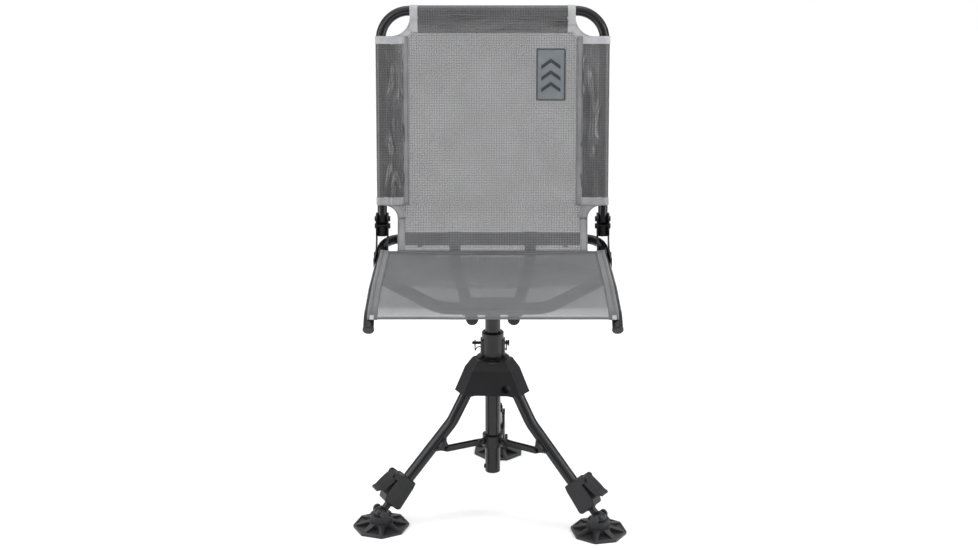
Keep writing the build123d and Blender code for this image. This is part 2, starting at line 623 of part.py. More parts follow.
ear_offset = (LINK_OUTER[0] - KNEE[0], LINK_OUTER[1] - KNEE[1])
EAR = (ear_offset[0] * sin(shin) - ear_offset[1] * cos(shin),
       ear_offset[0] * cos(shin) + ear_offset[1] * sin(shin))
thigh = atan2(KNEE[0] - PIVOT[0], PIVOT[1] - KNEE[1])
LEG_TOP = (PIVOT[0] - ABOVE_PIVOT * sin(thigh), PIVOT[1] + ABOVE_PIVOT * cos(thigh))
link_length = hypot(LINK_OUTER[0] - LINK_INNER[0], LINK_OUTER[1] - LINK_INNER[1])
link_middle = ((LINK_OUTER[0] + LINK_INNER[0]) / 2, (LINK_OUTER[1] + LINK_INNER[1]) / 2)
link_tilt = degrees(atan2(LINK_OUTER[1] - LINK_INNER[1], LINK_OUTER[0] - LINK_INNER[0]))
ball_shoulder = BALL_ALONG - sqrt(BALL_R**2 - NECK_R**2)


def make_leg(name, angle):
    """Every piece of one leg."""
    flat = leg_plane(angle)
    beside = shin_side(angle)
    down_shin = Axis(beside.origin, beside.x_dir)

    with BuildPart() as leg_tube:
        with BuildLine() as leg_line:
            FilletPolyline(
                flat.from_local_coords(Vector(*LEG_TOP, 0)),
                flat.from_local_coords(Vector(*KNEE, 0)),
                beside.origin + beside.x_dir * LEG_TUBE_END,
                radius=KNEE_BEND,
            )
        with BuildSketch(Plane(leg_line.line @ 0, z_dir=leg_line.line % 0)):
            Circle(LEG_R)
            Circle(LEG_R - LEG_WALL, mode=Mode.SUBTRACT)
        sweep(path=leg_line.line)
        with BuildSketch(flat):
            with Locations(PIVOT):
                Circle(PIVOT_BOLT_R + RUN)
        extrude(amount=LEG_R + 1, both=True, mode=Mode.SUBTRACT)
    keep(leg_tube, f"leg_tube_{name}")

    with BuildPart() as bracket:
        with BuildSketch(beside):
            with BuildLine():
                Polyline((EAR[0] - 13, -LEG_R), (EAR[0] - EAR_R, EAR[1]), (EAR[0] + EAR_R, EAR[1]),
                         (EAR[0] + 13, -LEG_R), close=True)
            make_face()
            with Locations(EAR):
                Circle(EAR_R)
        extrude(amount=EAR_HALF, both=True)
        with BuildSketch(shin_cross(angle, EAR[0] - SADDLE_HALF)):
            Circle(LEG_R + SADDLE)
        extrude(amount=2 * SADDLE_HALF)
        # Only the underside of that sleeve is kept, as a saddle
        with BuildSketch(beside):
            with Locations((EAR[0], LEG_R)):
                Rectangle(4 * SADDLE_HALF, 2 * LEG_R)
        extrude(amount=2 * LEG_R, both=True, mode=Mode.SUBTRACT)
        with BuildSketch(beside):
            rivet_along, rivet_out = SADDLE_RIVET
            with Locations((EAR[0] - rivet_along, rivet_out), (EAR[0] + rivet_along, rivet_out)):
                Circle(RIVET_HEAD_R)
        extrude(amount=LEG_R + SADDLE + 1.2, both=True)
        with BuildSketch(shin_cross(angle, EAR[0] - 2 * SADDLE_HALF)):
            Circle(LEG_R)
        extrude(amount=4 * SADDLE_HALF, mode=Mode.SUBTRACT)
    keep(bracket, f"leg_bracket_{name}")

    with BuildPart() as link:
        for start in (EAR_HALF + LINK_GAP, -EAR_HALF - LINK_GAP - LINK_SHEET):
            with BuildSketch(flat.offset(start)):
                with Locations(Location((*link_middle, 0), (0, 0, link_tilt))):
                    SlotCenterToCenter(link_length, 2 * LINK_R)
                with Locations(LINK_INNER):
                    Circle(RIVET_R + RUN, mode=Mode.SUBTRACT)
            extrude(amount=LINK_SHEET)
        plates_out = EAR_HALF + LINK_GAP + LINK_SHEET
        for start in (plates_out, -plates_out - RIVET_HEAD):
            with BuildSketch(flat.offset(start)):
                with Locations(LINK_OUTER):
                    Circle(RIVET_HEAD_R)
            extrude(amount=RIVET_HEAD)
    keep(link, f"link_{name}")

    with BuildPart() as housing:
        with BuildSketch(beside) as block:
            with BuildLine():
                Polyline(*CLAMP_SHAPE, close=True)
            make_face()
            fillet(block.vertices(), 2.5)
        extrude(amount=CLAMP_HALF, both=True)
        chamfer(housing.faces().filter_by(beside).edges(), 1.6)
        with BuildSketch(beside):
            with Locations((LEVER_AT[0], (LEVER_AT[1] + CLAMP_TOP) / 2 - 1)):
                Rectangle(2 * LEVER_BOSS_R, LEVER_AT[1] - CLAMP_TOP + 2)
            with Locations(LEVER_AT):
                Circle(LEVER_BOSS_R)
        extrude(amount=CLAMP_HALF, both=True)
        with BuildSketch(beside):
            with Locations(((CLAMP_START + CLAMP_END) / 2, 2 * CLAMP_TOP)):
                Rectangle(2 * (CLAMP_END - CLAMP_START), 2 * CLAMP_TOP)
        extrude(amount=CLAMP_HALF - CLAMP_CHEEK, both=True, mode=Mode.SUBTRACT)
        with BuildSketch(beside):
            with Locations(LEVER_AT):
                Circle(LEVER_PIN_R + RUN)
        extrude(amount=CLAMP_HALF + 1, both=True, mode=Mode.SUBTRACT)
        for start, end, radius in [(CLAMP_START - 1, LEG_TUBE_END, LEG_R),
                                   (LEG_TUBE_END - 1, CLAMP_END + 1, EXTENSION_R + RUN)]:
            with BuildSketch(shin_cross(angle, start)):
                Circle(radius)
            extrude(amount=end - start, mode=Mode.SUBTRACT)
    keep(housing, f"clamp_housing_{name}")

    with BuildPart() as lever:
        with BuildSketch(beside):
            with BuildLine():
                Polyline(*LEVER_SHAPE, close=True)
            make_face()
            with Locations(LEVER_AT):
                Circle(LEVER_EYE_R)
        extrude(amount=CLAMP_HALF - CLAMP_CHEEK - 0.4, both=True)
        with BuildSketch(beside):
            with Locations(LEVER_AT):
                Circle(LEVER_PIN_R)
        extrude(amount=CLAMP_HALF, both=True)
    keep(lever, f"clamp_lever_{name}")

    keep(ring(shin_cross(angle, 0), EXTENSION_R, EXTENSION_R - EXTENSION_WALL, EXTENSION_START,
              EXTENSION_END), f"leg_extension_{name}")

    plug_r = EXTENSION_R - EXTENSION_WALL
    neck_turn = degrees(atan2(NECK_R, BALL_ALONG - ball_shoulder))
    with BuildPart() as stud:
        with BuildSketch(beside):
            with BuildLine():
                Polyline((BALL_ALONG + BALL_R, 0), (STUD_TOP, 0), (STUD_TOP, plug_r),
                         (STUD_FLANGE[0], plug_r), (STUD_FLANGE[0], STUD_FLANGE_R),
                         (STUD_FLANGE[1], STUD_FLANGE_R), (STUD_FLANGE[1], NECK_R),
                         (ball_shoulder, NECK_R))
                CenterArc((BALL_ALONG, 0), BALL_R, 0, 180 - neck_turn)
            make_face()
        revolve(axis=down_shin)
    keep(stud, f"ball_stud_{name}")

    ball_out = KNEE[0] + BALL_ALONG * sin(shin)
    foot_centre = flat.x_dir * ball_out
    base = Plane(origin=foot_centre, x_dir=flat.x_dir, z_dir=(0, 0, 1))
    half_side = 180 / POCKETS
    with BuildPart() as foot:
        with BuildSketch(base):
            RegularPolygon(FOOT_R, POCKETS, rotation=half_side)
        extrude(amount=FOOT_EDGE)
        for height, radius in [(FOOT_EDGE, FOOT_R - 1), (FOOT_RISE, FOOT_TOP_R)]:
            with BuildSketch(base.offset(height)):
                RegularPolygon(radius, POCKETS, rotation=half_side)
        loft()
        # A pocket inside each side, between ribs that run out from the socket
        for pocket in range(POCKETS):
            with BuildSketch(base.offset(POCKET_FLOOR).rotated((0, 0, pocket * 2 * half_side))):
                with BuildLine():
                    Polyline(*POCKET_SHAPE, close=True)
                make_face()
            extrude(amount=FOOT_RISE, mode=Mode.SUBTRACT)
        with BuildSketch(base.offset(POCKET_FLOOR)):
            Circle(SOCKET_R)
        extrude(amount=SOCKET_TOP - POCKET_FLOOR)
        for start in (CHEEK_OUT, -CHEEK_OUT - CHEEK_THICK):
            with BuildSketch(flat.offset(start)):
                with Locations((ball_out, CHEEK_Z - 10)):
                    Rectangle(2 * CHEEK_R, 20)
                with Locations((ball_out, CHEEK_Z)):
                    Circle(CHEEK_R)
            extrude(amount=CHEEK_THICK)
        with BuildSketch(Plane(origin=foot_centre + Vector(0, 0, BALL_Z), x_dir=flat.x_dir,
                               z_dir=flat.z_dir)):
            with BuildLine():
                CenterArc((0, 0), BALL_R + BALL_FIT, -90, 180)
                Line((0, BALL_R + BALL_FIT), (0, -BALL_R - BALL_FIT))
            make_face()
        revolve(axis=Axis(foot_centre, (0, 0, 1)), mode=Mode.SUBTRACT)
    keep(foot, f"foot_{name}")


for leg_name, leg_angle in LEG_ANGLES.items():
    make_leg(leg_name, leg_angle)
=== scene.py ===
import json
from math import acos, cos, pi, radians, sin, sqrt, tan

import bpy
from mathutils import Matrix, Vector, noise


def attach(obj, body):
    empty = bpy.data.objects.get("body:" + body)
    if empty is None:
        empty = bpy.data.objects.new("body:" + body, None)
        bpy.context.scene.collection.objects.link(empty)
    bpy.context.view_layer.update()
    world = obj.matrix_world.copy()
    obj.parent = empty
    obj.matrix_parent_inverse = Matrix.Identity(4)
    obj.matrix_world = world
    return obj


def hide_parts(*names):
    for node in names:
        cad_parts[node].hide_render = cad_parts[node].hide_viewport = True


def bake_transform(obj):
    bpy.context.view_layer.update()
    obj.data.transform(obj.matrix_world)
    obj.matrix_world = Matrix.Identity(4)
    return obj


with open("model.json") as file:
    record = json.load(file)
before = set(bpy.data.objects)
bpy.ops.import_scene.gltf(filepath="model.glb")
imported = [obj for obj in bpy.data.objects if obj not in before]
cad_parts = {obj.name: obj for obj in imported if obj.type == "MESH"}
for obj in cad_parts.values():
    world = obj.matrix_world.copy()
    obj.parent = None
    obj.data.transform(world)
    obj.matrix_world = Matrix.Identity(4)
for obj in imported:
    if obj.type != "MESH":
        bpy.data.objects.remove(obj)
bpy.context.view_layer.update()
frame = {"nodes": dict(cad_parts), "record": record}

# The looks of a blind swivel chair. Its tubes, plastics and bolts keep their CAD shapes and get
# better materials. Its fabric is made here: open mesh sewn into a back sling and a seat sling.
#
# A place on the backrest is x across, w up along it from the hinge line, and out of its front.
# A place on the seat is across from its middle, way along the rails, and lift off their tops.

# ---------------------------------------------------------------- sizes, in metres

LEAN = radians(10.1)
HINGE = Vector((0, 0.190, 0.512))
UP = Vector((0, sin(LEAN), cos(LEAN)))  # along the backrest
FRONT = Vector((0, -cos(LEAN), sin(LEAN)))  # out of its front
TUBE_X = 0.2145
TUBE_R = 0.0095
BACK_TOP = 0.399  # w of the top tube's middle

CLOTH = 0.0004
SEAT_CLOTH = 0.00024
WRAP_R = TUBE_R + 0.0007  # the cloth's radius round a tube
TAPE = 0.0007
TAPE_WIDTH = 0.015
WEAVE_PITCH = 0.0016

# The back sling's seams, and the lengths of cloth round its sleeves
SEAM_X = 0.167  # where the two layers of a side sleeve meet
SIDE_SLEEVE = (0.027, 0.351)  # w of its two ends
SIDE_ROUND = 0.125
TOP_SEAM = 0.358
TOP_SLEEVE_X = 0.1585
TOP_ROUND = 0.112
SLEEVE_GAP = 0.0008  # half the space between a sleeve's layers at its seam
SLEEVE_LIFT = 0.0006  # how far its cloth puffs out before the creases are added
PANEL_HALF = 0.166  # half the main panel's width between the side sleeves
PANEL_LOW_HALF = 0.176  # and below them
PANEL_STEP = 0.006  # the height in which it narrows from one to the other
PANEL_LOW_X = 0.185  # the outer edge of the tape below them
PANEL_HOLLOW = 0.007
HINGE_DIP = 0.002  # how far behind the hinge line the panel passes it
DIP_ABOVE, DIP_BELOW = 0.05, 0.06  # and how far from that line this fades out
TAIL_END = -0.066

# The back sling's tapes, and how far their middles lie off the cloth's
TAPE_LIFT = 0.0012
BAND_LIFT = 0.0008  # for a tape wrapped round a sleeve
SEAM_STRIP_X = 0.162
SEAM_STRIP_WIDTH = 0.0115
SEAM_STRIP_LIFT = 0.0014  # at its inner edge
SEAM_STRIP_RISE = 0.0012  # from there to its outer edge

# The cut-outs at the back sling's corners: their arcs' centres and radii, and their tapes' widths
TOP_CORNER_R = 0.037
LOW_CORNER_R = 0.025
TOP_CORNER = (TOP_SLEEVE_X + TOP_CORNER_R, SIDE_SLEEVE[1] + TOP_CORNER_R)
LOW_CORNER = (PANEL_LOW_X + LOW_CORNER_R, 0.001)
TOP_CORNER_TAPE = TAPE_WIDTH + 0.001
LOW_CORNER_TAPE = TAPE_WIDTH + 0.002
CORNER_RUN = 0.05  # about the length of tape round a corner
EDGE_RUN = 0.07  # and down the edge below it
EDGE_OVERLAP = 0.002  # how far an edge's tape runs on under the corner's

# The hidden rod that holds the back sling's lower end, and the sling's way down to it
ROD = Vector((0, 0.164, 0.450))
ROD_HEM_R = 0.0049
ROD_ROUND = 0.031
TAIL_DIRECTION = (ROD + Vector((0, 0.0048, 0.001)) - HINGE).normalized()
TAIL_FRONT = Vector((0, TAIL_DIRECTION.z, -TAIL_DIRECTION.y))

# A seat rail's middle in the side view, (y, z), and the radii of its bends
RAIL_CORNERS = [(-0.198, 0.4235), (-0.174, 0.440), (-0.060, 0.451), (0.140, 0.448), (0.203, 0.467)]
RAIL_BENDS = [0.040, 0.260, 0.070]
RAIL_STEP = 0.004  # for measuring the rail's direction

SEAT_FRONT = 0.013  # where the seat's cloth starts, along the rail from its front end
SEAT_DEPTH = 0.337
SEAT_REAR = SEAT_FRONT + SEAT_DEPTH
SEAT_HALF = TUBE_X + 0.0015  # half its width, to just past the top of each rail
SEAT_SAG = 0.010
SAG_ARCH, SAG_SLOPE = 0.6, 0.65  # shares of the sag: deepest halfway back, and growing to the rear
RAIL_HOLD = 0.004  # how far inside a rail's middle the cloth leaves it
SIDE_HEM = 0.0175
WELT_R = 0.0026  # half the width of the corded edge of a side hem
WELT_HEIGHT = 0.0012
END_HEM = 0.0045
HEM_OUT = 0.0006  # how far a hem's fold stands out from the cloth's edge
HEM_OVER = 0.001  # how far side hems run past the cloth's ends, and end hems stop short of its sides
TAB_INSET = 0.0035
TAB_AHEAD = 0.0022  # of the cloth's front edge
TAB_LIFT = 0.0019
TAB_SIZE = (0.0075, 0.0085)

STITCH, STITCH_GAP = 0.0026, 0.0012
STITCH_INSET = 0.0022  # from a back tape's edge
STITCH_LIFT = 0.0005  # off the middle of a back tape
SEAM_LINES = [(0.1635, 0.0024), (0.1720, 0.0034)]  # the lines on a seam strip, as x and out
TOP_LINES = [(0.001, 0.0018), (0.006, 0.0028)]  # the lines above the top seam, as height and out
TOP_LINE_HALF = 0.143
HEM_LINES = [SIDE_HEM - 0.0016, 0.0062]  # how far in the lines on a side hem are
END_LINE = END_HEM - 0.0012  # how far in the line on an end hem is
END_LINE_HALF = 0.19
HEM_LINE_LIFT, END_LINE_LIFT = 0.0012, 0.0010
BACK_THREAD, SEAT_THREAD = 0.00045, 0.0006  # radii
LINE_SAMPLES = 60  # points that a line of stitches is measured with
THREAD_SIDES = 5

PATCH_AT = (0.112, 0.278)
PATCH_SIZE = (0.055, 0.098)
FIELD_LIFT, FIELD_THICK = 0.0013, 0.0010
PATCH_TOP = 0.0024  # how far the raised shapes reach off the panel
PATCH_EDGE_BASE, STRIPE_BASE = 0.0008, 0.0012  # and where they start
CHAMFER, CHAMFER_SCALE = 0.0003, 0.985  # how they narrow at the top
PATCH_OVER, PATCH_UNDER = 0.001, 0.0022  # how much the edge adds to the patch's size and covers of it
PATCH_CORNERS = (0.002, 0.0012)  # the radii of the edge's outer and inner corners
EDGE_PARTS = 4  # pieces of each straight run of the patch's edge, so it follows the panel
STRIPE_LOWS = (-0.034, -0.012, 0.010)  # each stripe's lower ends, from the patch's centre
STRIPE_SIZE = (0.0185, 0.013)  # half a stripe's width, and the rise of its point
STRIPE_THICK = 0.0075

# ---------------------------------------------------------------- light and camera values

# Name, place, the point it faces, width and height, and power
LIGHTS = [
    ("key", (-1.6, -2.2, 2.6), (0, 0, 0.5), (1.6, 1.6), 22),
    ("fill", (2.0, -1.8, 1.8), (0, 0, 0.5), (1.4, 1.8), 12),
    ("left_strip", (-1.9, -0.5, 0.9), (0, 0.1, 0.6), (0.35, 1.9), 20),
    ("right_strip", (1.9, -0.5, 0.9), (0, 0.1, 0.6), (0.35, 1.9), 20),
    ("top", (0, 0.6, 2.8), (0, 0, 0.5), (1.8, 1.4), 10),
]
OVERHEAD_LIGHT = 1.34  # the backdrop's strength straight up, above its even strength
EVEN_LIGHT = 0.16
FLOOR_HALF = 6.0

CAMERA_PLACE = (-0.007, -2.640, 1.300)
CAMERA_DOWN = 17.7  # degrees below level
CAMERA_LENS = 55.5  # millimetres, on a sensor 36 wide


# ---------------------------------------------------------------- materials

def new_material(name):
    """An empty node material and its principled shader."""
    made = bpy.data.materials.new(name)
    made.use_nodes = True
    return made, made.node_tree.nodes["Principled BSDF"]


def add(owner, kind, **values):
    """A new node of a material or world, with its sockets or settings set by name."""
    node = owner.node_tree.nodes.new(kind)
    for key, value in values.items():
        if key in node.inputs:
            node.inputs[key].default_value = value
        else:
            setattr(node, key, value)
    return node


def link(owner, out, into):
    """Joins an output socket to an input socket of the same material or world."""
    owner.node_tree.links.new(out, into)


def coordinates(owner, source="Object"):
    """Texture coordinates; Object ones are metres in the frame, as every object is at the origin."""
    return add(owner, "ShaderNodeTexCoord").outputs[source]


def noise_of(owner, where, scale, detail, roughness):
    """A noise texture's value, from 0 to 1."""
    node = add(owner, "ShaderNodeTexNoise", Scale=scale, Detail=detail, Roughness=roughness)
    link(owner, where, node.inputs["Vector"])
    return node.outputs["Fac"]


def ramp(owner, value, stops):
    """A colour ramp over value, from two (place, colour) stops."""
    node = add(owner, "ShaderNodeValToRGB")
    link(owner, value, node.inputs["Fac"])
    for element, (place, colour) in zip(node.color_ramp.elements, stops):
        element.position = place
        element.color = (*colour, 1)
    return node.outputs["Color"]


def math_of(owner, kind, a, b=0.0):
    """a and b, each a socket or a number, through one Math node."""
    node = add(owner, "ShaderNodeMath", operation=kind)
    for socket, value in zip(node.inputs, (a, b)):
        if isinstance(value, (int, float)):
            socket.default_value = value
        else:
            link(owner, value, socket)
    return node.outputs[0]


def blend_of(owner, a, a_share, b, b_share):
    """a and b added in these shares."""
    return math_of(owner, "ADD", math_of(owner, "MULTIPLY", a, a_share),
                   math_of(owner, "MULTIPLY", b, b_share))


def to_range(owner, value, low, high):
    """A 0 to 1 value spread over low to high."""
    node = add(owner, "ShaderNodeMapRange")
    node.inputs["To Min"].default_value = low
    node.inputs["To Max"].default_value = high
    link(owner, value, node.inputs["Value"])
    return node.outputs["Result"]


def bump(owner, shader, height, strength, distance):
    """Shades the surface as if it rose by height times distance, in metres."""
    node = add(owner, "ShaderNodeBump", Strength=strength, Distance=distance)
    link(owner, height, node.inputs["Height"])
    link(owner, node.outputs["Normal"], shader.inputs["Normal"])


def solid_material(name, dark, light, rough, grain, grain_depth, metal=0.0, specular=0.5):
    """Paint, plastic, rubber or metal: a faintly uneven colour and gloss over a fine grain."""
    made, shader = new_material(name)
    where = coordinates(made)
    blotch = noise_of(made, where, scale=9.0, detail=5.0, roughness=0.6)
    fine = noise_of(made, where, scale=grain, detail=3.0, roughness=0.6)
    mixed = blend_of(made, blotch, 0.7, fine, 0.3)
    link(made, ramp(made, mixed, [(0.32, dark), (0.68, light)]), shader.inputs["Base Color"])
    link(made, to_range(made, mixed, *rough), shader.inputs["Roughness"])
    bump(made, shader, fine, strength=0.35, distance=grain_depth)
    shader.inputs["Metallic"].default_value = metal
    shader.inputs["Specular IOR Level"].default_value = specular
    return made


def yarns(owner, along, yarn):
    """One set of parallel yarns across a UV coordinate in metres.

    Returns where a yarn covers (0 or 1), how near its middle a point is (0 to 0.5), and where the
    thicker yarn's pitch lies (0 or 1): every third yarn is thicker.
    """
    place = math_of(owner, "MULTIPLY", along, 1 / WEAVE_PITCH)
    step = math_of(owner, "FRACT", place)
    middle = math_of(owner, "ABSOLUTE", math_of(owner, "SUBTRACT", step, 0.5))
    in_three = math_of(owner, "FRACT", math_of(owner, "MULTIPLY", place, 1 / 3))
    heavy = math_of(owner, "LESS_THAN", in_three, 1 / 3)
    half = math_of(owner, "ADD", math_of(owner, "MULTIPLY", heavy, 0.05), yarn / 2)
    return math_of(owner, "LESS_THAN", middle, half), math_of(owner, "SUBTRACT", 0.5, middle), heavy


def weave_material(name, dark, light, yarn, line, rough=(0.45, 0.62), sheen=0.1, haze=0.0):
    """Coated yarn woven square, open between the yarns, on a mesh whose UV is in metres.

    yarn is the share of the pitch that a yarn covers, and line is how much darker the thicker
    yarns are. haze is how far fluff and coating close the holes.
    """
    made, shader = new_material(name)
    split = add(made, "ShaderNodeSeparateXYZ")
    link(made, coordinates(made, "UV"), split.inputs[0])
    covers, crowns, heavies = zip(*(yarns(made, split.outputs[axis], yarn) for axis in (0, 1)))
    cover = math_of(made, "MAXIMUM", *covers)
    heavy = math_of(made, "MAXIMUM", *heavies)
    crown = math_of(made, "MAXIMUM", *crowns)
    where = coordinates(made)
    blotch = noise_of(made, where, scale=14.0, detail=4.0, roughness=0.55)
    fleck = noise_of(made, where, scale=900.0, detail=2.0, roughness=0.5)
    mixed = blend_of(made, blotch, 0.5, fleck, 0.5)
    shade = math_of(made, "SUBTRACT", mixed, math_of(made, "MULTIPLY", heavy, line))
    link(made, ramp(made, shade, [(0.3, dark), (0.7, light)]), shader.inputs["Base Color"])
    link(made, to_range(made, mixed, *rough), shader.inputs["Roughness"])
    link(made, math_of(made, "MAXIMUM", cover, haze), shader.inputs["Alpha"])
    shader.inputs["Sheen Weight"].default_value = sheen
    shader.inputs["Specular IOR Level"].default_value = 0.4
    bump(made, shader, crown, strength=0.25, distance=WEAVE_PITCH * 0.2)
    return made


def tape_material(name, dark, light, pitch=0.0011):
    """Close-woven tape: fine ribs both ways, pitch metres apart, and a little uneven dye."""
    made, shader = new_material(name)
    split = add(made, "ShaderNodeSeparateXYZ")
    link(made, coordinates(made, "UV"), split.inputs[0])
    waves = [math_of(made, "SINE", math_of(made, "MULTIPLY", split.outputs[axis], 2 * pi / pitch))
             for axis in (0, 1)]
    rib = math_of(made, "MULTIPLY", *(math_of(made, "ADD", wave, 1.0) for wave in waves))
    blotch = noise_of(made, coordinates(made), scale=40.0, detail=4.0, roughness=0.6)
    shade = blend_of(made, rib, 0.06, blotch, 0.8)
    link(made, ramp(made, shade, [(0.3, dark), (0.75, light)]), shader.inputs["Base Color"])
    link(made, to_range(made, blotch, 0.6, 0.8), shader.inputs["Roughness"])
    shader.inputs["Sheen Weight"].default_value = 0.3
    bump(made, shader, rib, strength=0.4, distance=0.00015)
    return made


COATED = solid_material("powder_coat", dark=(0.003, 0.003, 0.004), light=(0.008, 0.008, 0.0095),
                        rough=(0.16, 0.30), grain=700, grain_depth=0.0001, specular=0.36)
PLASTIC = solid_material("moulded_nylon", dark=(0.003, 0.003, 0.004), light=(0.010, 0.010, 0.0115),
                         rough=(0.22, 0.40), grain=1100, grain_depth=0.0002, specular=0.34)
RUBBER = solid_material("foot_rubber", dark=(0.007, 0.007, 0.008), light=(0.022, 0.022, 0.0235),
                        rough=(0.30, 0.52), grain=500, grain_depth=0.0004, specular=0.45)
FASTENER = solid_material("black_oxide", dark=(0.012, 0.012, 0.013), light=(0.028, 0.028, 0.031),
                          rough=(0.25, 0.4), grain=900, grain_depth=0.00004, metal=0.4, specular=0.4)
WIRE = solid_material("spring_wire", dark=(0.016, 0.016, 0.018), light=(0.04, 0.04, 0.043),
                      rough=(0.25, 0.4), grain=1200, grain_depth=0.00003, metal=0.7)
ACETAL = solid_material("acetal", dark=(0.020, 0.020, 0.021), light=(0.034, 0.034, 0.035),
                        rough=(0.35, 0.5), grain=600, grain_depth=0.00004)
RING_STEEL = solid_material("ring_steel", dark=(0.32, 0.32, 0.33), light=(0.5, 0.5, 0.51),
                            rough=(0.25, 0.4), grain=800, grain_depth=0.00003, metal=1.0)
MESH = weave_material("sling_mesh", dark=(0.080, 0.080, 0.083), light=(0.235, 0.235, 0.241),
                      yarn=0.44, line=0.36, haze=0.25)
# A darker copy of the sling's yarn: painted shade of the cloth doubled round the black tube
SHADED_SLEEVE_MESH = weave_material("shaded_sleeve_mesh", dark=(0.068, 0.068, 0.070), light=(0.136, 0.136, 0.139),
                             yarn=0.50, line=0.24, rough=(0.16, 0.28), sheen=0.03, haze=0.25)
SEAT_MESH = weave_material("seat_mesh", dark=(0.104, 0.106, 0.112), light=(0.164, 0.166, 0.174),
                           yarn=0.47, line=0.14)
BINDING = tape_material("binding_tape", dark=(0.27, 0.27, 0.282), light=(0.42, 0.42, 0.435))
# A darker copy of the binding tape, with painted shade, for the tapes at the back sling's lower end
SHADED_LOW_BINDING = tape_material("shaded_low_binding_tape", dark=(0.19, 0.19, 0.198), light=(0.31, 0.31, 0.322))
STRIP = tape_material("seam_strip", dark=(0.14, 0.14, 0.146), light=(0.22, 0.22, 0.228))
HEM = tape_material("seat_hem", dark=(0.070, 0.072, 0.077), light=(0.112, 0.114, 0.121))
END_TAPE = tape_material("seat_end_hem", dark=(0.070, 0.071, 0.075), light=(0.110, 0.112, 0.118))
THREAD = tape_material("thread", dark=(0.06, 0.06, 0.062), light=(0.11, 0.11, 0.113), pitch=0.0004)
PATCH_FIELD = tape_material("patch_field", dark=(0.100, 0.113, 0.124), light=(0.150, 0.166, 0.180),
                            pitch=0.0009)
PATCH_DARK = tape_material("patch_dark", dark=(0.008, 0.009, 0.011), light=(0.02, 0.022, 0.026),
                           pitch=0.0007)

SLOT_MATERIALS = {
    "black_tube": COATED,
    "black_plastic": PLASTIC,
    "black_rubber": RUBBER,
    "dark_fastener": FASTENER,
    "spring_wire": WIRE,
    "bushing_plastic": ACETAL,
    "steel_ring": RING_STEEL,
    "grey_mesh": MESH,
    "patch_cloth": PATCH_FIELD,
}
for subpart in frame["record"]["subparts"]:
    mesh = frame["nodes"][subpart["node"]].data
    mesh.materials.clear()
    mesh.materials.append(SLOT_MATERIALS[subpart["material_slot"]])


# ---------------------------------------------------------------- mesh helpers

def new_object(name, points, faces, material, uvs=None, smooth=True):
    """A mesh object from points and faces; uvs is one (u, v) per point, in metres."""
    data = bpy.data.meshes.new(name)
    data.from_pydata([tuple(p) for p in points], [], faces)
    if uvs:
        layer = data.uv_layers.new(name="cloth")
        for loop in data.loops:
            layer.data[loop.index].uv = uvs[loop.vertex_index]
    data.materials.append(material)
    data.polygons.foreach_set("use_smooth", [smooth] * len(data.polygons))
    data.update()
    piece = bpy.data.objects.new(name, data)
    bpy.context.scene.collection.objects.link(piece)
    return piece


def apply_modifiers(piece):
    """Turns what a piece's modifiers make into its own mesh."""
    seen = piece.evaluated_get(bpy.context.evaluated_depsgraph_get())
    data = bpy.data.meshes.new_from_object(seen)
    piece.modifiers.clear()
    piece.data = data


def grid(name, place, across, along, size, material, thick):
    """A cloth of this thickness from place(s, t), s and t from 0 to 1.

    across and along are its numbers of faces, and size spreads its UV in metres.
    """
    points = []
    uvs = []
    for j in range(along + 1):
        for i in range(across + 1):
            s, t = i / across, j / along
            points.append(place(s, t))
            uvs.append((s * size[0], t * size[1]))
    row = across + 1
    faces = []
    for j in range(along):
        for i in range(across):
            corner = j * row + i
            faces.append((corner, corner + 1, corner + row + 1, corner + row))
    piece = new_object(name, points, faces, material, uvs)
    shell = piece.modifiers.new("cloth", "SOLIDIFY")
    shell.thickness = thick
    shell.offset = 0.0
    apply_modifiers(piece)
    return piece


def join(name, pieces):
    """One object from several, keeping each one's material."""
    bpy.ops.object.select_all(action="DESELECT")
    for piece in pieces:
        piece.select_set(True)
    bpy.context.view_layer.objects.active = pieces[0]
    bpy.ops.object.join()
    pieces[0].name = name
    return pieces[0]


def smooth_step(value):
    """0 below 0, 1 above 1, and smooth between them."""
    value = min(max(value, 0.0), 1.0)
    return value * value * (3 - 2 * value)


def wrinkle(x, y, size, stretch, depth, seed):
    """Soft creases, stretch times longer along y than across x."""
    place = Vector((x / size, y / (size * stretch), seed))
    return depth * (noise.noise(place) + 0.5 * noise.noise(place * 2.1))


def pleat(x, y, size, stretch, depth, seed):
    """Narrow raised folds with soft cloth between them, running mostly along y."""
    run = size * stretch
    bend = 0.6 * noise.noise(Vector((y / (run * 1.5), seed, 2.0)))
    ridge = 1 - min(1.0, abs(noise.noise(Vector((x / size + bend, y / run, seed)))) * 3.2)
    spread = noise.noise(Vector((x / size * 0.4, y / (run * 0.8), seed + 5)))
    fold = depth * ridge**1.5 * smooth_step(0.5 + 1.6 * spread)
    return fold + wrinkle(x, y, size * 0.5, stretch, depth * 0.2, seed + 9)


# ---------------------------------------------------------------- backrest cloth

def back_point(x, w, out=0.0):
    """A point of the backrest: across, up from the hinge and out of its front."""
    return HINGE + Vector((x, 0, 0)) + UP * w + FRONT * out


def panel_point(x, w, out=0.0):
    """The main panel's own surface: a little hollow under tension, and turned in below the hinge."""
    if w < 0:
        fade = smooth_step(1 + w / DIP_BELOW)
        return HINGE + Vector((x, 0, 0)) - TAIL_DIRECTION * w + TAIL_FRONT * (out - HINGE_DIP * fade)
    across = max(0.0, 1 - (x / SEAM_X) ** 2)
    hollow = PANEL_HOLLOW * across * sin(pi * min(w / TOP_SEAM, 1)) ** 0.7
    crease = wrinkle(x, w, size=0.05, stretch=3.0, depth=0.0006, seed=3.0)
    return back_point(x, w, out - HINGE_DIP * (1 - smooth_step(w / DIP_ABOVE)) - hollow + crease)


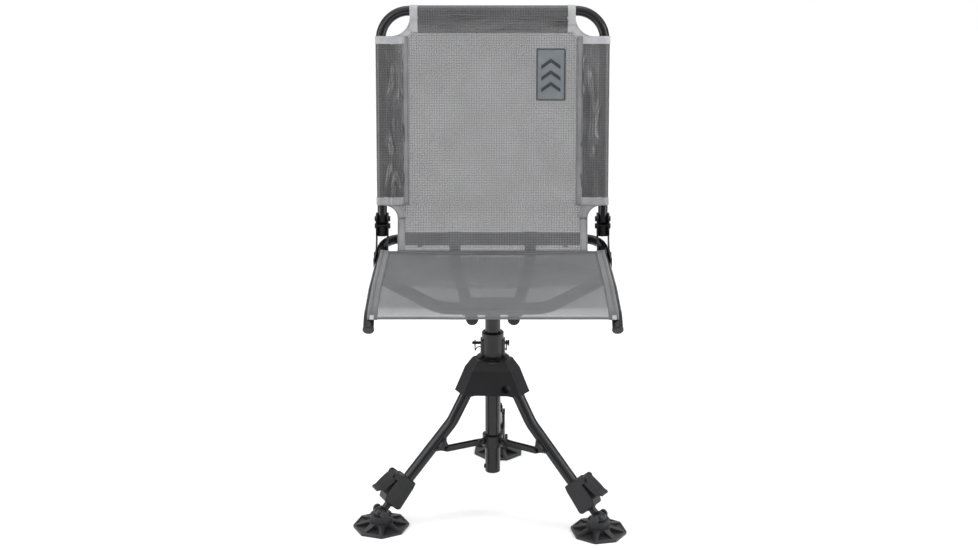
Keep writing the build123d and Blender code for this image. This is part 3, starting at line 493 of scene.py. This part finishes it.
def sleeve_section(share, radius, reach):
    """A loop round a tube and back to its seam: distance in from the tube, height out, and part.

    share runs from the seam over the front, round the tube and back. reach is how far the seam
    lies from the tube's centre. part runs from 0 at the seam to 1 where the cloth meets the tube.
    """
    lean = acos(radius / reach)
    straight = sqrt(reach**2 - radius**2)
    total = 2 * straight + radius * (2 * pi - 2 * lean)
    way = share * total
    if way < straight or way > total - straight:
        part = (way if way < straight else total - way) / straight
        side = 1 if way < straight else -1
        end = (radius * cos(lean), radius * sin(lean))
        inward = reach + (end[0] - reach) * part
        return inward, side * (SLEEVE_GAP + (end[1] - SLEEVE_GAP) * part), part
    angle = lean + (way - straight) / radius
    return radius * cos(angle), radius * sin(angle), 1.0


def puffed(out, part, crease, lift):
    """A sleeve's height out, raised by its creases between the tube and its seam."""
    sign = 1 if out > 0 else -1
    return out + sign * sin(pi * part) * (crease + SLEEVE_LIFT + lift)


def side_sleeve_point(side, share, w, lift=0.0):
    """A point on a side sleeve, wrinkled up and down where it spans from the tube to its seam."""
    inward, out, part = sleeve_section(share, WRAP_R + lift, TUBE_X - SEAM_X)
    crease = pleat(inward + side * 0.3, w, size=0.017, stretch=4.5, depth=0.0066, seed=11.0 + side)
    return back_point(side * (TUBE_X - inward), w, puffed(out, part, crease, lift))


def top_sleeve_point(share, x, lift=0.0):
    """A point on the top sleeve, wrinkled from side to side below the tube."""
    down, out, part = sleeve_section(share, WRAP_R + lift, BACK_TOP - TOP_SEAM)
    crease = pleat(down, x, size=0.0062, stretch=16.0, depth=0.0056, seed=21.0)
    return back_point(x, BACK_TOP - down, puffed(out, part, crease, lift))


def make_back_cloth():
    """The back sling: main panel, two side sleeves and the top sleeve, sewn as one."""
    low, high = SIDE_SLEEVE
    length = TOP_SEAM - TAIL_END

    def panel(s, t):
        w = TAIL_END + t * length
        half = PANEL_LOW_HALF + (PANEL_HALF - PANEL_LOW_HALF) * smooth_step((w - low) / PANEL_STEP)
        return panel_point((2 * s - 1) * half, w)

    pieces = [grid("panel", panel, 90, 110, (2 * PANEL_HALF, length), MESH, CLOTH)]
    for side in (-1, 1):
        def sleeve(s, t, side=side):
            return side_sleeve_point(side, 1 - s if side > 0 else s, low + t * (high - low))

        size = (SIDE_ROUND, high - low)
        pieces.append(grid("side_sleeve", sleeve, 100, 120, size, SHADED_SLEEVE_MESH, CLOTH))

    def top(s, t):
        return top_sleeve_point(1 - s, (2 * t - 1) * TOP_SLEEVE_X)

    pieces.append(grid("top_sleeve", top, 120, 110, (TOP_ROUND, 2 * TOP_SLEEVE_X), SHADED_SLEEVE_MESH, CLOTH))
    return join("back_cloth", pieces)


def corner_point(corner, radius, angle):
    """The (x, w) of a point round a cut-out's corner."""
    return corner[0] + radius * cos(angle), corner[1] + radius * sin(angle)


def corner_tape(side, corner, start, radius, width, out_at, material):
    """A tape on both faces, a quarter turn round a cut-out's corner from the angle start."""
    pieces = []
    for face in (1, -1):
        def place(s, t, face=face):
            x, w = corner_point(corner, radius + width * s, start + pi / 2 * t)
            return back_point(side * x, w, face * out_at(x, w))

        pieces.append(grid("corner", place, 6, 20, (width, CORNER_RUN), material, TAPE))
    return pieces


def sleeve_out(x, w):
    """How far out a tape lies over the sleeves near a top corner."""
    over_side = max(0.0, (x - SEAM_X) / (TUBE_X - SEAM_X)) * WRAP_R
    over_top = max(0.0, (w - TOP_SEAM) / (BACK_TOP - TOP_SEAM)) * WRAP_R
    return TAPE_LIFT + min(max(over_side, over_top), WRAP_R)


def low_out(x, w):
    """How far out a tape lies near a bottom corner, from the side sleeve down to the panel."""
    over_side = max(0.0, (x - SEAM_X) / (TUBE_X - SEAM_X)) * WRAP_R
    return TAPE_LIFT + smooth_step(w / 0.02) * over_side


def sleeve_bands(side):
    """The tapes round the ends of one side sleeve and one end of the top sleeve."""
    pieces = []
    low, high = SIDE_SLEEVE
    # The lower band gets the darker binding, with painted shade; the upper band the plain binding
    for start, tape in ((low, SHADED_LOW_BINDING), (high - TAPE_WIDTH, BINDING)):
        def band(s, t, start=start):
            w = start + (t if side < 0 else 1 - t) * TAPE_WIDTH
            return side_sleeve_point(side, s, w, BAND_LIFT)

        pieces.append(grid("band", band, 80, 7, (SIDE_ROUND, TAPE_WIDTH), tape, TAPE))

    def end_band(s, t):
        x = side * (TOP_SLEEVE_X - TAPE_WIDTH * (t if side < 0 else 1 - t))
        return top_sleeve_point(s, x, BAND_LIFT)

    pieces.append(grid("band", end_band, 80, 7, (TOP_ROUND, TAPE_WIDTH), BINDING, TAPE))
    return pieces


def seam_strips(side):
    """The strips that cover a side sleeve's seam, front and back."""
    low, high = SIDE_SLEEVE
    pieces = []
    for face in (1, -1):
        def seam(s, t, face=face):
            x = side * (SEAM_STRIP_X + SEAM_STRIP_WIDTH * s)
            out = face * (SEAM_STRIP_LIFT + SEAM_STRIP_RISE * s)
            return back_point(x, low + (high - low) * t, out)

        pieces.append(grid("seam_strip", seam, 4, 60, (SEAM_STRIP_WIDTH, high - low), STRIP, TAPE))
    return pieces


def low_edges(side):
    """The tapes on the panel's edge, front and back, from the bottom corner to the tail."""
    length = LOW_CORNER[1] + EDGE_OVERLAP - TAIL_END
    pieces = []
    for face in (1, -1):
        def edge(s, t, face=face):
            x = side * (PANEL_LOW_X - TAPE_WIDTH * s)
            return panel_point(x, TAIL_END + t * length, face * TAPE_LIFT)

        # These tapes take the darker binding, with painted shade
        pieces.append(grid("edge", edge, 5, 24, (TAPE_WIDTH, EDGE_RUN), SHADED_LOW_BINDING, TAPE))
    return pieces


def make_back_binding():
    """The light tape along every cut edge of the back, darker with painted shade at its lower end, and
    the strips over its side seams.
    """
    pieces = []
    for side in (-1, 1):
        pieces += sleeve_bands(side)
        pieces += seam_strips(side)
        pieces += corner_tape(side, TOP_CORNER, pi, TOP_CORNER_R, TOP_CORNER_TAPE, sleeve_out, BINDING)
        # The bottom corner's tape is the darker binding, with painted shade
        pieces += corner_tape(side, LOW_CORNER, pi / 2, LOW_CORNER_R, LOW_CORNER_TAPE, low_out,
                              SHADED_LOW_BINDING)
        pieces += low_edges(side)
    return join("back_binding", pieces)


# ---------------------------------------------------------------- seat cloth

def bent_line(corners, bends, steps=10):
    """Points along a bent tube's middle in the side view."""
    points = [Vector(corners[0])]
    for before, corner, after, radius in zip(corners, corners[1:], corners[2:], bends):
        corner = Vector(corner)
        back = (Vector(before) - corner).normalized()
        ahead = (Vector(after) - corner).normalized()
        half = back.angle(ahead) / 2
        centre = corner + (back + ahead).normalized() * (radius / sin(half))
        start = corner + back * (radius / tan(half)) - centre
        end = corner + ahead * (radius / tan(half)) - centre
        points += [centre + start.lerp(end, k / steps).normalized() * radius for k in range(steps + 1)]
    return points + [Vector(corners[-1])]


RAIL_LINE = bent_line(RAIL_CORNERS, RAIL_BENDS)


def rail_point(way):
    """The rail's middle, as (y, z), way metres along it from its front end."""
    for start, end in zip(RAIL_LINE, RAIL_LINE[1:]):
        run = (end - start).length
        if way <= run:
            break
        way -= run
    return start + (end - start) * (way / run)


def rail_up(way):
    """The direction out of the rail's top, as (y, z)."""
    along = (rail_point(way + RAIL_STEP) - rail_point(way - RAIL_STEP)).normalized()
    return Vector((-along.y, along.x))


def seat_point(across, way, lift=0.0):
    """A point of the seat, which sags between the rails and turns down over them."""
    side = 1 if across > 0 else -1
    beyond = max(0.0, abs(across) - TUBE_X) / WRAP_R
    depth = (way - SEAT_FRONT) / SEAT_DEPTH
    hang = max(0.0, 1 - (across / (TUBE_X - RAIL_HOLD)) ** 2)
    sag = SAG_ARCH * sin(pi * min(max(depth, 0), 1)) + SAG_SLOPE * max(depth, 0)
    crease = wrinkle(across, way, size=0.045, stretch=2.5, depth=0.0006, seed=31.0) * hang
    rise = (WRAP_R + lift) * cos(beyond) - SEAT_SAG * sag * hang + crease
    y, z = rail_point(way) + rail_up(way) * rise
    x = side * (TUBE_X + (WRAP_R + lift) * sin(beyond)) if beyond else across
    return Vector((x, y, z))


def make_seat_cloth():
    """The seat sling's open mesh, from rail to rail."""
    def place(s, t):
        return seat_point((2 * s - 1) * SEAT_HALF, SEAT_FRONT + t * SEAT_DEPTH)

    return grid("seat_cloth", place, 96, 96, (2 * SEAT_HALF, SEAT_DEPTH), SEAT_MESH, SEAT_CLOTH)


def folded(name, edge, width, across, along, size, material, gap):
    """A hem doubled over an edge: edge(inset, t, lift) is the cloth inset metres in from it."""
    def place(s, t):
        way = (2 * s - 1) * width
        return edge(abs(way), t, gap * min(1.0, abs(way) / gap) * (1 if way > 0 else -1))

    return grid(name, place, across, along, size, material, TAPE * 0.5)


def make_seat_hems():
    """Doubled hems along all four edges of the seat, with a light tab at each front corner."""
    pieces = []
    for side in (-1, 1):
        def side_edge(inset, t, lift, side=side):
            cord = sqrt(max(0.0, 1 - ((inset - WELT_R) / WELT_R) ** 2)) * WELT_HEIGHT
            way = SEAT_FRONT - HEM_OVER + t * (SEAT_DEPTH + 2 * HEM_OVER)
            over = cord if lift > 0 else 0
            return seat_point(side * (SEAT_HALF + HEM_OUT - inset), way, lift + over)

        size = (2 * SIDE_HEM, SEAT_DEPTH)
        pieces.append(folded("side_hem", side_edge, SIDE_HEM, 20, 90, size, HEM, gap=0.0008))
    for end, way, tape in ((SEAT_FRONT, 1, END_TAPE), (SEAT_REAR, -1, HEM)):
        def end_edge(inset, t, lift, end=end, way=way):
            return seat_point((2 * t - 1) * (SEAT_HALF - HEM_OVER), end - way * (HEM_OUT - inset), lift)

        size = (2 * END_HEM, 2 * SEAT_HALF)
        pieces.append(folded("end_hem", end_edge, END_HEM, 12, 96, size, tape, gap=0.0006))
    for side in (-1, 1):
        def tab(s, t, side=side):
            inset = TAB_INSET + TAB_SIZE[0] * s
            way = SEAT_FRONT - TAB_AHEAD + TAB_SIZE[1] * t
            return seat_point(side * (SEAT_HALF - inset), way, TAB_LIFT)

        pieces.append(grid("tab", tab, 5, 5, TAB_SIZE, BINDING, TAPE))
    return join("seat_hem", pieces)


# ---------------------------------------------------------------- stitching

def add_stitch(points, faces, a, b, up, thick):
    """Adds one stitch from a to b to points and faces: a short thread with thin ends."""
    beside = (b - a).normalized().cross(up).normalized()
    end_part = (b - a) * 0.2
    base = len(points)
    for middle, size in ((a, 0.35), (a + end_part, 1), (b - end_part, 1), (b, 0.35)):
        for turn in range(THREAD_SIDES):
            angle = 2 * pi * turn / THREAD_SIDES
            points.append(middle + (beside * cos(angle) + up * sin(angle)) * thick * size)
    for ring in range(3):
        here = base + ring * THREAD_SIDES
        beyond = here + THREAD_SIDES
        for turn in range(THREAD_SIDES):
            after = (turn + 1) % THREAD_SIDES
            faces.append((here + turn, here + after, beyond + after, beyond + turn))
    faces.append(tuple(base + turn for turn in reversed(range(THREAD_SIDES))))
    faces.append(tuple(base + 3 * THREAD_SIDES + turn for turn in range(THREAD_SIDES)))


def stitches(name, lines, thick):
    """Dashes of thread along lines; each line is a function of 0 to 1 and the way out of the cloth."""
    points = []
    faces = []
    pitch = STITCH + STITCH_GAP
    for line, out in lines:
        samples = [line(k / LINE_SAMPLES) for k in range(LINE_SAMPLES + 1)]
        length = sum((b - a).length for a, b in zip(samples, samples[1:]))
        count = max(2, int(length / pitch))
        for k in range(count):
            add_stitch(points, faces, line(k / count), line((k + STITCH / pitch) / count),
                       out.normalized(), thick)
    return new_object(name, points, faces, THREAD)


def corner_line(side, corner, start, radius, out_at):
    """A line of stitches a quarter turn round a cut-out's corner."""
    def line(t):
        x, w = corner_point(corner, radius, start + pi / 2 * t)
        return back_point(side * x, w, out_at(x, w) + STITCH_LIFT)

    return line


def make_back_stitching():
    """Thread along the back's seam strips, corner tapes, lower edges and top seam."""
    lines = []
    low, high = SIDE_SLEEVE
    for side in (-1, 1):
        for x, out in SEAM_LINES:
            lines.append(lambda t, x=x, out=out, side=side:
                         back_point(side * x, low + (high - low) * t, out))
        for inset in (STITCH_INSET, TAPE_WIDTH - STITCH_INSET):
            lines.append(corner_line(side, TOP_CORNER, pi, TOP_CORNER_R + inset, sleeve_out))
            lines.append(corner_line(side, LOW_CORNER, pi / 2, LOW_CORNER_R + inset, low_out))
        for inset in (STITCH_INSET, TAPE_WIDTH - STITCH_INSET):
            lines.append(lambda t, x=PANEL_LOW_X - inset, side=side:
                         panel_point(side * x, TAIL_END * t, TAPE_LIFT + STITCH_LIFT))
    for above, out in TOP_LINES:
        lines.append(lambda t, above=above, out=out:
                     back_point((2 * t - 1) * TOP_LINE_HALF, TOP_SEAM + above, out))
    return stitches("back_stitching", [(line, FRONT) for line in lines], BACK_THREAD)


def make_seat_stitching():
    """Thread along the seat's side and end hems."""
    lines = []
    for side in (-1, 1):
        for inset in HEM_LINES:
            lines.append(lambda t, across=side * (SEAT_HALF - inset):
                         seat_point(across, SEAT_FRONT + t * SEAT_DEPTH, HEM_LINE_LIFT))
    for way in (SEAT_FRONT + END_LINE, SEAT_REAR - END_LINE):
        lines.append(lambda t, way=way:
                     seat_point((2 * t - 1) * END_LINE_HALF, way, END_LINE_LIFT))
    up = Vector((0, 0, 1))
    return stitches("seat_stitching", [(line, up) for line in lines], SEAT_THREAD)


# ---------------------------------------------------------------- patch

def rounded_outline(width, height, radius, steps=6):
    """The outline of a rounded rectangle about its centre."""
    points = []
    for quarter, (sx, sy) in enumerate([(1, 1), (-1, 1), (-1, -1), (1, -1)]):
        centre = (sx * (width / 2 - radius), sy * (height / 2 - radius))
        for k in range(steps + 1):
            points.append(corner_point(centre, radius, (quarter + k / steps) * pi / 2))
    return points


def between(a, b, share):
    """The point this share of the way from a to b."""
    return tuple(p + (q - p) * share for p, q in zip(a, b))


def patch_piece(name, outlines, base):
    """Dark raised shapes on the panel, from closed outlines about the patch's centre."""
    top = PATCH_TOP
    points = []
    uvs = []
    faces = []
    for outline in outlines:
        count = len(outline)
        start = len(points)
        middle = [sum(c) / count for c in zip(*outline)]
        for height, scale in ((base, 1.0), (top - CHAMFER, 1.0), (top, CHAMFER_SCALE)):
            for x, w in outline:
                px = middle[0] + (x - middle[0]) * scale
                pw = middle[1] + (w - middle[1]) * scale
                points.append(panel_point(PATCH_AT[0] + px, PATCH_AT[1] + pw, height))
                uvs.append((px, pw))
        for ring in range(2):
            here = start + ring * count
            for k in range(count):
                after = (k + 1) % count
                faces.append((here + k, here + after, here + count + after, here + count + k))
        faces.append(tuple(start + 2 * count + k for k in range(count)))
        faces.append(tuple(start + k for k in reversed(range(count))))
    return new_object(name, points, faces, PATCH_DARK, uvs, smooth=False)


def chevron(low):
    """Half outlines of a plain pointed stripe, left and right."""
    half, rise = STRIPE_SIZE
    ends, point = low + STRIPE_THICK, low + rise + STRIPE_THICK
    return [[(-half, low), (0, low + rise), (0, point), (-half, ends)],
            [(0, low + rise), (half, low), (half, ends), (0, point)]]


def make_patch():
    """A plain woven patch with a raised edge and three plain stripes."""
    width, height = PATCH_SIZE

    def field_point(s, t):
        x = PATCH_AT[0] + (s - 0.5) * width
        return panel_point(x, PATCH_AT[1] + (t - 0.5) * height, FIELD_LIFT)

    field = grid("field", field_point, 12, 22, PATCH_SIZE, PATCH_FIELD, FIELD_THICK)
    border = []
    outer = rounded_outline(width + PATCH_OVER, height + PATCH_OVER, PATCH_CORNERS[0])
    inner = rounded_outline(width - PATCH_UNDER, height - PATCH_UNDER, PATCH_CORNERS[1])
    for k in range(len(outer)):
        after = (k + 1) % len(outer)
        for part in range(EDGE_PARTS):
            a, b = part / EDGE_PARTS, (part + 1) / EDGE_PARTS
            border.append([between(outer[k], outer[after], a), between(outer[k], outer[after], b),
                           between(inner[k], inner[after], b), between(inner[k], inner[after], a)])
    edge = patch_piece("edge", border, PATCH_EDGE_BASE)
    halves = []
    for low in STRIPE_LOWS:
        halves += chevron(low)
    marks = patch_piece("mark", halves, STRIPE_BASE)
    return join("patch_badge", [field, edge, marks])


# ---------------------------------------------------------------- put the cloth together

def rod_hem(s, t):
    """A point of the tail's hem, round the rod."""
    angle = 2 * pi * s
    return ROD + Vector(((2 * t - 1) * PANEL_LOW_X, cos(angle) * ROD_HEM_R, sin(angle) * ROD_HEM_R))


back_cloth = make_back_cloth()
back_binding = make_back_binding()
back_stitching = make_back_stitching()
seat_cloth = make_seat_cloth()
seat_hem = make_seat_hems()
seat_stitching = make_seat_stitching()
patch_badge = make_patch()
# The hem round the rod uses the sleeve cloth, with its painted shade
tail_hem = grid("tail_hem", rod_hem, 20, 60, (ROD_ROUND, 2 * PANEL_LOW_X), SHADED_SLEEVE_MESH, CLOTH)

for piece in (back_cloth, back_binding, back_stitching):
    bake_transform(piece)
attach(patch_badge, "back")
for piece in (seat_cloth, seat_hem, seat_stitching, tail_hem):
    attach(piece, "seat")
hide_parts("back_sling", "sling_tail")
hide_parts("seat_sling")
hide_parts("patch")


# ---------------------------------------------------------------- floor, light and camera

def make_floor():
    """A pale matt floor under the feet."""
    material, shader = new_material("pale_floor")
    tone = noise_of(material, coordinates(material), scale=2.0, detail=2.0, roughness=0.5)
    tones = ramp(material, tone, [(0.3, (0.97, 0.97, 0.97)), (0.7, (0.985, 0.985, 0.985))])
    link(material, tones, shader.inputs["Base Color"])
    shader.inputs["Roughness"].default_value = 0.9
    half = FLOOR_HALF
    points = [(-half, -half, 0), (half, -half, 0), (half, half, 0), (-half, half, 0)]
    new_object("floor", points, [(0, 1, 2, 3)], material)


def area_light(name, place, aim, size, power):
    """A rectangular light at place that faces aim."""
    data = bpy.data.lights.new(name, "AREA")
    data.shape = "RECTANGLE"
    data.size, data.size_y = size
    data.energy = power
    lamp = bpy.data.objects.new(name, data)
    lamp.location = place
    lamp.rotation_euler = (Vector(aim) - Vector(place)).to_track_quat("-Z", "Y").to_euler()
    bpy.context.scene.collection.objects.link(lamp)


def make_camera():
    """The photo's view: from in front and a little above."""
    data = bpy.data.cameras.new("camera")
    data.sensor_width = 36.0
    data.lens = CAMERA_LENS
    camera = bpy.data.objects.new("camera", data)
    camera.location = CAMERA_PLACE
    camera.rotation_euler = (radians(90 - CAMERA_DOWN), 0, 0)
    bpy.context.scene.collection.objects.link(camera)
    bpy.context.scene.camera = camera


def make_world():
    """A white backdrop whose light comes mostly from overhead, so dark parts keep their contrast."""
    world = bpy.data.worlds.new("studio")
    world.use_nodes = True
    split = add(world, "ShaderNodeSeparateXYZ")
    link(world, coordinates(world, "Generated"), split.inputs[0])
    height = math_of(world, "MAXIMUM", split.outputs["Z"], 0.0)
    light = math_of(world, "ADD", math_of(world, "MULTIPLY", height, OVERHEAD_LIGHT), EVEN_LIGHT)
    seen = add(world, "ShaderNodeLightPath").outputs["Is Camera Ray"]
    background = world.node_tree.nodes["Background"]
    link(world, math_of(world, "MAXIMUM", light, seen), background.inputs["Strength"])
    background.inputs["Color"].default_value = (1, 1, 1, 1)
    bpy.context.scene.world = world


make_floor()
for values in LIGHTS:
    area_light(*values)
make_camera()
make_world()
bpy.context.scene.view_settings.view_transform = "Standard"
